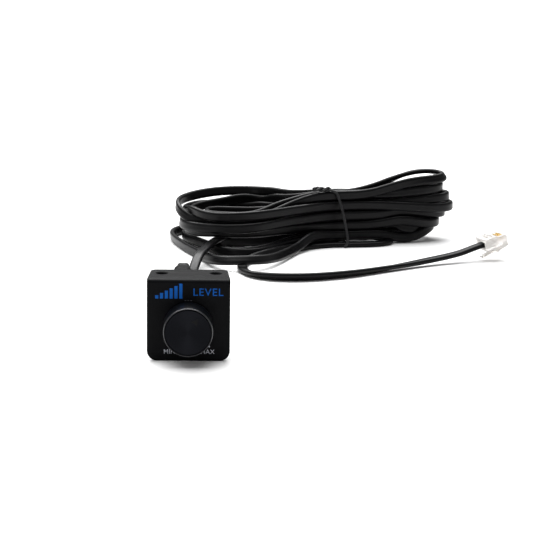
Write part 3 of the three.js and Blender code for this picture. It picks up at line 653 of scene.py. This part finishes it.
def rounded(profile, radius, steps=4):
    """The profile with each inner corner replaced by a small arc."""
    out = [profile[0]]
    for i in range(1, len(profile) - 1):
        a, p, b = (np.array(profile[j], float) for j in (i - 1, i, i + 1))
        to_a, to_b = a - p, b - p
        la, lb = np.linalg.norm(to_a), np.linalg.norm(to_b)
        r = min(radius, la * 0.45, lb * 0.45)
        p0, p1 = p + to_a / la * r, p + to_b / lb * r
        for k in range(steps + 1):
            t = k / steps
            out.append(tuple((1 - t) ** 2 * p0 + 2 * t * (1 - t) * p + t ** 2 * p1))
    out.append(profile[-1])
    return out


def measures(node):
    """The centre of a node's round front, its front and rear depth and its radius, in millimetres."""
    low, high = (np.array(v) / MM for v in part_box(node))
    centre = ((low[0] + high[0]) / 2, (low[2] + high[2]) / 2)
    return centre, low[1] - Y_SHIFT, high[1] - Y_SHIFT, (high[0] - low[0]) / 2


KNOB_CENTRE, KNOB_FRONT, KNOB_REAR, KNOB_RADIUS = measures("knob_body")
_, FACE_FRONT, FACE_REAR, FACE_RADIUS = measures("knob_face")
SKIRT = 0.1  # how far the knob's side stands in from its rear edge


def knob_moulding():
    """The knob's shell, with a shinier ring round its face whose lighter colour is a painted highlight."""
    front, rear, radius, face = KNOB_FRONT, KNOB_REAR, KNOB_RADIUS - SKIRT, FACE_RADIUS
    profile = [
        (0.02, front + 1.5), (face + 0.15, front + 1.5), (face + 0.15, front + 0.2), (face + 0.24, front),
        (radius - 0.2, front), (radius - 0.06, front + 0.3), (radius - 0.02, front + 1.2),
        (radius + 0.1, rear - 0.4), (radius - 0.15, rear), (8.5, rear), (8.2, front + 2.9),
        (5.9, front + 2.6), (5.8, -5.8), (4.7, -5.8), (4.7, front + 2.2), (0.02, front + 2.2),
    ]
    moulding = lathe("knob_moulding", rounded(profile, 0.16), KNOB_CENTRE, knob_mat, "dial",
                     "knob_body")
    moulding.data.materials.append(rim_highlight_mat)
    # the front ring and its chamfer take the rim material: a painted highlight line round the face
    for f in moulding.data.polygons:
        depth = f.center.y / MM - Y_SHIFT
        reach = math.hypot(f.center.x / MM - KNOB_CENTRE[0], f.center.z / MM - KNOB_CENTRE[1])
        if depth < front + 0.5 and face + 0.2 < reach:
            f.material_index = 1


def knob_disc(grooves=44, groove_depth=0.008, dish=0.05):
    """The metal face: a slightly dished disc with turned grooves and a small bevel."""
    disc = [
        (FACE_RADIUS, FACE_REAR), (FACE_RADIUS, FACE_FRONT + 0.25), (FACE_RADIUS - 0.14, FACE_FRONT + 0.08),
    ]
    for i in range(grooves):
        r = (FACE_RADIUS - 0.3) * (1 - i / grooves)
        groove = groove_depth if i % 2 else 0.0
        disc.append((r, FACE_FRONT + 0.03 + groove + dish * (1 - r / FACE_RADIUS)))
    lathe("knob_turned_face", disc, KNOB_CENTRE, face_mat, "dial", "knob_face")


def add_prism(bm, outline, front, back):
    """A solid between two depths with an outline of x and z, in millimetres."""
    front_ring = [bm.verts.new(row((x, front, z))) for x, z in outline]
    back_ring = [bm.verts.new(row((x, back, z))) for x, z in outline]
    bm.faces.new(front_ring)
    bm.faces.new(back_ring[::-1])
    for i in range(len(outline)):
        j = (i + 1) % len(outline)
        bm.faces.new((front_ring[i], front_ring[j], back_ring[j], back_ring[i]))


def finish_mesh(name, bm):
    bmesh.ops.recalc_face_normals(bm, faces=bm.faces)
    mesh = bpy.data.meshes.new(name)
    bm.to_mesh(mesh)
    bm.free()
    return mesh


POINTER_OUTLINE = ((0, 1.75), (1.55, -0.95), (0, -0.45), (-1.55, -0.95))
POINTER_REACH = 5.0
POINTER_TURN = math.radians(34)


def knob_pointer():
    """An arrowhead let into the face, turned to where the dial points at rest."""
    c, s = math.cos(POINTER_TURN), math.sin(POINTER_TURN)
    outline = []
    for x, z in POINTER_OUTLINE:
        out = z + POINTER_REACH
        outline.append((KNOB_CENTRE[0] + x * c + out * s, KNOB_CENTRE[1] - x * s + out * c))
    bm = bmesh.new()
    add_prism(bm, outline, FACE_FRONT - 0.02, FACE_FRONT + 0.3)
    obj = dress(in_scene("knob_pointer_inlay", finish_mesh("knob_pointer_inlay", bm)), ink_mat)
    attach(obj, "dial")
    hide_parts("knob_pointer")


ink_mat = shader("pointer_ink", (0.002, 0.002, 0.0025), 0.45, spec=0.1, grain=0.3, grain_scale=4000)
# the rim is shinier than the knob, and its lighter base colour is a painted highlight along the front edge
rim_highlight_mat = shader("knob_rim_painted_highlight", (0.020, 0.020, 0.023), 0.3, spec=0.35, grain=0.1, grain_scale=4200, tint=0.1)
knob_moulding()
knob_disc()
knob_pointer()

# ---- strain relief boot: ribbed, moulded, with rounded shoulders --------------

BOOT_SIDES = 40
BOOT_START, BOOT_LENGTH = 9.9, 20.1
BOOT_LOW_Z = 25.2
CORNER = 0.75  # power that squares off the round section
# each ring: its depth behind the front plate, its width and its height
BOOT_FLANGE = (
    (7.0, 8.0, 5.6), (7.15, 8.35, 5.95), (8.0, 8.4, 6.0), (8.2, 8.2, 5.8), (8.2, 5.8, 3.4), (10.2, 5.8, 3.4),
    (10.2, 8.4, 6.0), (10.35, 8.75, 6.35), (11.4, 8.65, 6.25), (11.65, 8.3, 5.9), (11.8, 7.2, 4.9),
)
BOOT_RIB = (
    (0.0, 6.95, 4.65), (0.85, 6.95, 4.65), (1.05, 7.35, 5.0), (1.3, 7.75, 5.3), (1.6, 7.9, 5.42),
    (2.3, 7.8, 5.35), (2.6, 7.55, 5.15), (2.8, 7.2, 4.85),
)
BOOT_NOSE = (
    (24.9, 6.95, 4.75), (26.5, 7.1, 4.9), (28.4, 7.05, 4.88), (29.2, 6.9, 4.75), (29.7, 6.5, 4.4),
    (30.0, 5.9, 3.9),
)
FIRST_RIB, RIB_PITCH, RIB_COUNT = 12.2, 3.1, 4


def boot_ring(y, w, h):
    """A ring of the boot, whose middle rises in a curve from the pod to the cord's exit."""
    t = max(0.0, (y - BOOT_START) / BOOT_LENGTH)
    z = BOOT_LOW_Z + (EXIT[2] - BOOT_LOW_Z) * (1.45 * t - 0.45 * t * t)
    pts = []
    for i in range(BOOT_SIDES):
        a = 2 * math.pi * i / BOOT_SIDES
        c, s = math.cos(a), math.sin(a)
        x_part = math.copysign(abs(c) ** CORNER, c)
        z_part = math.copysign(abs(s) ** CORNER, s)
        pts.append(row((EXIT[0] + x_part * w / 2, y, z + z_part * h / 2)))
    return pts


def boot():
    sizes = list(BOOT_FLANGE)
    for i in range(RIB_COUNT):
        sizes += [(FIRST_RIB + i * RIB_PITCH + dy, w, h) for dy, w, h in BOOT_RIB]
    sizes += BOOT_NOSE
    verts = [p for size in sizes for p in boot_ring(*size)]
    mesh = bpy.data.meshes.new("boot_moulding")
    mesh.from_pydata(verts, [], tube_faces(len(sizes), BOOT_SIDES))
    face_outward(mesh)
    smooth(mesh)
    obj = in_scene("boot_moulding", mesh)
    rounding = obj.modifiers.new("smooth", "SUBSURF")
    rounding.levels = 1
    rounding.render_levels = 1
    dress(obj, boot_mat)
    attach(obj, "unit")
    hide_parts("strain_relief")


boot()

# ---- tie: coated wire pulled round the bundle and twisted on top --------------

TIE_RADIUS = 0.72
TIE_REACH, TIE_SIDE = 5, 14  # how far from the tie's middle a strand counts as inside it
OVAL_SIDES = 12
TWIST_LENGTH, TWIST_TURNS, TWIST_POINTS = 9.5, 1.4, 26
TWIST_RADIUS = 0.75


def hull(points):
    """The convex outline of points across and up."""
    def half(seq):
        out = []
        for p in seq:
            while len(out) > 1 and ((out[-1][0] - out[-2][0]) * (p[1] - out[-2][1])
                                    - (out[-1][1] - out[-2][1]) * (p[0] - out[-2][0])) <= 0:
                out.pop()
            out.append(p)
        return out[:-1]

    return half(points) + half(points[::-1])


def bundle_outline():
    """The wire's middle line round the strands under the tie: across and height, in millimetres."""
    pos = line[:, :2] - TIE
    along, across = pos @ AXIS, pos @ SIDE
    inside = (np.abs(along) < TIE_REACH) & (np.abs(across) < TIE_SIDE)
    half_t, half_w = CORD_T / 2 + TIE_RADIUS, CORD_W / 2 + TIE_RADIUS
    pts = set()
    for a, z in zip(across[inside], line[inside, 2]):
        for k in range(OVAL_SIDES):
            t = 2 * math.pi * k / OVAL_SIDES
            pts.add((a + half_t * math.cos(t), z + half_w * math.sin(t)))
    outline = np.array(hull(sorted(pts)))
    outline[:, 1] = np.maximum(outline[:, 1], 0.75)
    start = int(np.argmax(outline[:, 1] - 0.2 * np.abs(outline[:, 0] + 1)))
    return np.roll(outline, -start, 0)


def tie_ring():
    """The tie slants: its front bows toward the closed end, and its back leans the other way."""
    outline = bundle_outline()
    top = outline[:, 1].max()
    pts = []
    for a, z in outline:
        h = z / top
        near_side = -3.2 + 18.5 * h - 22.5 * h ** 3
        far_side = -3.2 - 8.5 * h
        blend = min(1.0, max(0.0, 0.5 + a / 7))
        pts.append(at_tie(near_side * (1 - blend) + far_side * blend, a, z))
    return pts + [list(pts[0])]


def twist_points(first, k):
    """One of the two wire ends that wind round each other on top of the hank."""
    pts = []
    for i in range(TWIST_POINTS):
        t = i / (TWIST_POINTS - 1)
        turn = 2 * math.pi * (TWIST_TURNS * t) + math.pi * k
        centre = first + np.array([*(AXIS * (-TWIST_LENGTH * t)), 0]) + np.array([*(SIDE * (1.5 * t)), 0.35])
        wide = TWIST_RADIUS * (1 - 0.15 * t)
        flat = centre[:2] + SIDE * wide * math.cos(turn)
        pts.append([*flat, centre[2] + wide * math.sin(turn), 0])
    return np.array(pts)


def tie_wire():
    ring = tie_ring()
    section = round_section(TIE_RADIUS)
    loop, _ = sweep_mesh("tie_wire", even_line(np.array(ring, float), 0.6), section)
    dress(loop, tie_mat)
    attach(loop, "unit")
    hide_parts("cord_tie")
    out = [loop]
    for k in range(2):
        twist = even_line(twist_points(np.array(ring[0][:3]), k), 0.5)
        tail, _ = sweep_mesh(f"tie_twist_{k + 1}", twist, section * 0.85)
        dress(tail, tie_mat)
        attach(tail, "unit")
        out.append(tail)
    return out


ties = tie_wire()

# ---- four conductors that fan out of the jacket inside the clear plug ----------

WIRE_PITCH, WIRE_RADIUS = 1.15, 0.4
WIRE_REACH = (5.9, 6.5, 7.2)  # points of each conductor, measured into the plug


def plug_wires():
    side = np.array([-math.sin(PLUG_HEADING), math.cos(PLUG_HEADING), 0])
    out = []
    for k in range(4):
        y = (k - 1.5) * WIRE_PITCH
        pts = np.array([[*(PLUG_POS + PLUG_AXIS * d + side * y), 0] for d in WIRE_REACH])
        wire, _ = sweep_mesh(f"plug_conductor_{k + 1}", even_line(pts, 0.3), round_section(WIRE_RADIUS))
        dress(wire, wire_mats[k])
        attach(wire, "unit")
        out.append(wire)
    return out


wires = plug_wires()

# ---- prints on the front plate -------------------------------------------------

PRINT_BACK = -0.01
PRINT_FRONT = -0.035


def print_mesh(name, outlines, mat):
    """Thin ink shapes on the plate: each outline is a list of x and z in millimetres."""
    bm = bmesh.new()
    for outline in outlines:
        add_prism(bm, outline, PRINT_FRONT, PRINT_BACK)
    obj = dress(in_scene(name, finish_mesh(name, bm)), mat)
    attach(obj, "unit")
    return obj


CAP_HEIGHT = 0.72  # height of a capital letter, as a share of the font's size
WORD_DEPTH, WORD_SWELL = 0.012, 0.01  # millimetres


def print_word(name, word, height, x, z, mat, spacing=1.0):
    """A raised word on the plate, centred on x and z."""
    curve = bpy.data.curves.new(name + "_text", "FONT")
    curve.body = word
    curve.align_x = "CENTER"
    curve.align_y = "CENTER"
    curve.size = height / CAP_HEIGHT * MM
    curve.space_character = spacing
    curve.extrude = WORD_DEPTH * MM
    curve.offset = WORD_SWELL * MM
    temp = bpy.data.objects.new(name + "_text", curve)
    scene.collection.objects.link(temp)
    bpy.context.view_layer.update()
    mesh = bpy.data.meshes.new_from_object(temp.evaluated_get(bpy.context.evaluated_depsgraph_get()))
    bpy.data.objects.remove(temp)
    mesh.name = name
    mesh.transform(Matrix.Translation(row((x, -0.022, z))) @ Matrix.Rotation(math.pi / 2, 4, "X"))
    obj = dress(in_scene(name, mesh), mat)
    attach(obj, "unit")
    return obj


def dot(x, z, r, count=20):
    turns = [2 * math.pi * i / count for i in range(count)]
    return [(x + r * math.cos(t), z + r * math.sin(t)) for t in turns]


def bar(x, z, w, h):
    return [(x, z), (x + w, z), (x + w, z + h), (x, z + h)]


blue_ink = shader("blue_ink", (0.0035, 0.085, 0.36), 0.5, spec=0.08, grain=0.4, grain_scale=5000, tint=0.12)
white_ink = shader("white_ink", (0.42, 0.43, 0.47), 0.5, spec=0.1, grain=0.4, grain_scale=5000, tint=0.06)
print_mesh("level_bars", [bar(-13.2 + 1.9 * i, 25.4, 1.25, 1.3 + 0.95 * i) for i in range(6)], blue_ink)
print_word("level_word", "LEVEL", 3.1, 7.7, 27.9, blue_ink, spacing=1.12)
print_word("min_word", "MIN", 1.85, -7.5, 3.7, white_ink, spacing=1.05)
print_word("max_word", "MAX", 1.85, 7.6, 3.7, white_ink, spacing=1.05)
print_mesh("dial_marks", [dot(8.3, 5.9, 0.32), dot(-7.9, 6.2, 0.32)], white_ink)
grey_ink = shader("grey_ink", (0.05, 0.053, 0.06), 0.5, spec=0.1, grain=0.4, grain_scale=5000, tint=0.1)
print_mesh("dial_top_marks", [bar(-1.6 + 1.15 * i, 24.45, 0.7, 0.34) for i in range(3)], grey_ink)

# ---- floor and light -----------------------------------------------------------

def floor():
    bm = bmesh.new()
    bmesh.ops.create_grid(bm, x_segments=2, y_segments=2, size=8.0)
    mesh = bpy.data.meshes.new("floor")
    bm.to_mesh(mesh)
    bm.free()
    white = shader("floor_white", (0.90, 0.90, 0.90), 0.85, spec=0.1, tint=0.01, tint_scale=4)
    obj = dress(in_scene("floor", mesh), white)


def softbox(name, place, aim, size, power):
    data = bpy.data.lights.new(name, "AREA")
    data.shape = "RECTANGLE"
    data.size, data.size_y = size
    data.energy = power
    obj = bpy.data.objects.new(name, data)
    direction = Vector(aim) - Vector(place)
    obj.matrix_world = Matrix.Translation(place) @ direction.to_track_quat("-Z", "Y").to_matrix().to_4x4()
    scene.collection.objects.link(obj)


def sky(name, strength, angle, tilt):
    """A broad soft light from overhead, the same all over the floor."""
    data = bpy.data.lights.new(name, "SUN")
    data.energy = strength
    data.angle = math.radians(angle)
    obj = bpy.data.objects.new(name, data)
    obj.rotation_euler = [math.radians(t) for t in tilt]
    scene.collection.objects.link(obj)


floor()
sky("overhead_dome", 5.2, 70, (-22, -8, 0))
softbox("back_strip", (-0.05, 0.95, 0.75), (0.05, 0.15, 0.01), (1.3, 0.35), 5)
softbox("left_fill", (-0.9, -0.5, 0.55), (0.05, 0.1, 0.02), (0.5, 0.7), 1.2)

world = bpy.data.worlds.new("studio")
world.use_nodes = True
backdrop = world.node_tree.nodes["Background"]
backdrop.inputs["Color"].default_value = (1, 1, 1, 1)
backdrop.inputs["Strength"].default_value = 0.3
scene.world = world
scene.view_settings.view_transform = "Standard"
scene.view_settings.look = "None"
